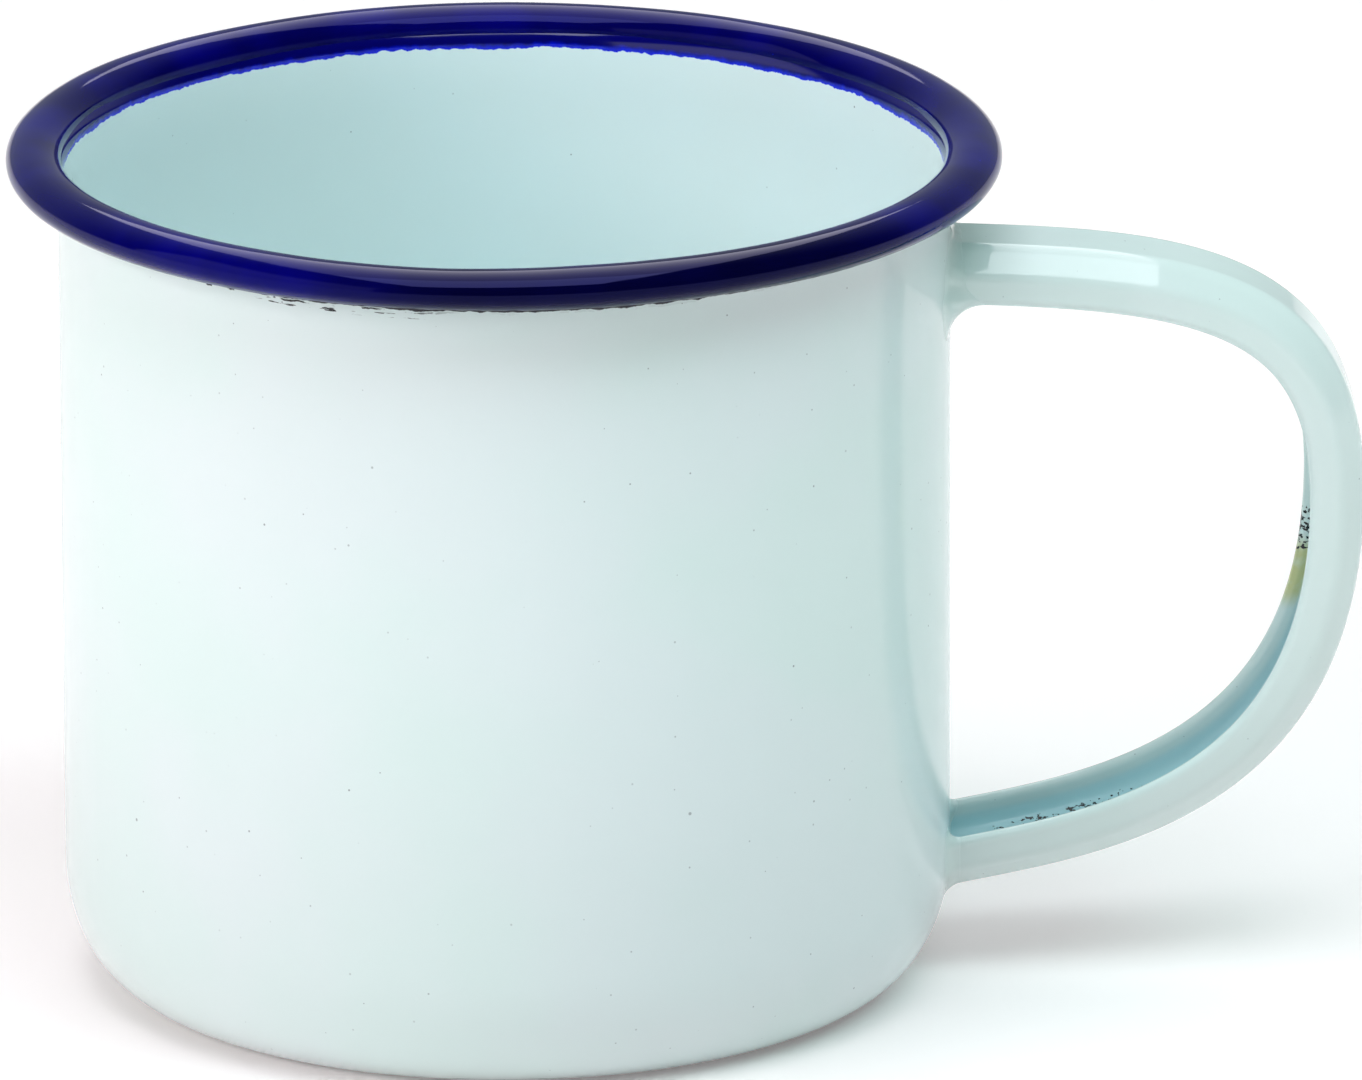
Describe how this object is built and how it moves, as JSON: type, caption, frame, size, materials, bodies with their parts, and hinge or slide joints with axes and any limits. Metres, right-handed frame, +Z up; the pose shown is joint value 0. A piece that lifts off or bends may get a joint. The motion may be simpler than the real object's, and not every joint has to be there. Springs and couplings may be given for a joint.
{
  "type": "enamel mug",
  "caption": "Enamelled steel mug: straight drawn cup with a rounded bottom corner, outward rolled rim and a welded channel strap handle.",
  "frame": {"origin": "centre of the flat base, on the cup's axis, where the mug stands", "axes": "+Z up along the cup's axis, +X from the axis towards the handle, +Y across the handle"},
  "size_m": [0.1219, 0.0892, 0.078],
  "materials": {
    "white_enamel": "glossy white vitreous enamel on steel, with fine pinholes",
    "blue_enamel": "very glossy deep cobalt blue vitreous enamel",
    "handle_enamel": "glossy white vitreous enamel, thin and chipped in the hollow of the strap"
  },
  "bodies": {
    "root": {"cup_body": "white_enamel", "rolled_rim": "blue_enamel", "handle_strap": "handle_enamel", "upper_handle_weld": "handle_enamel", "lower_handle_weld": "handle_enamel"}
  },
  "joints": []
}
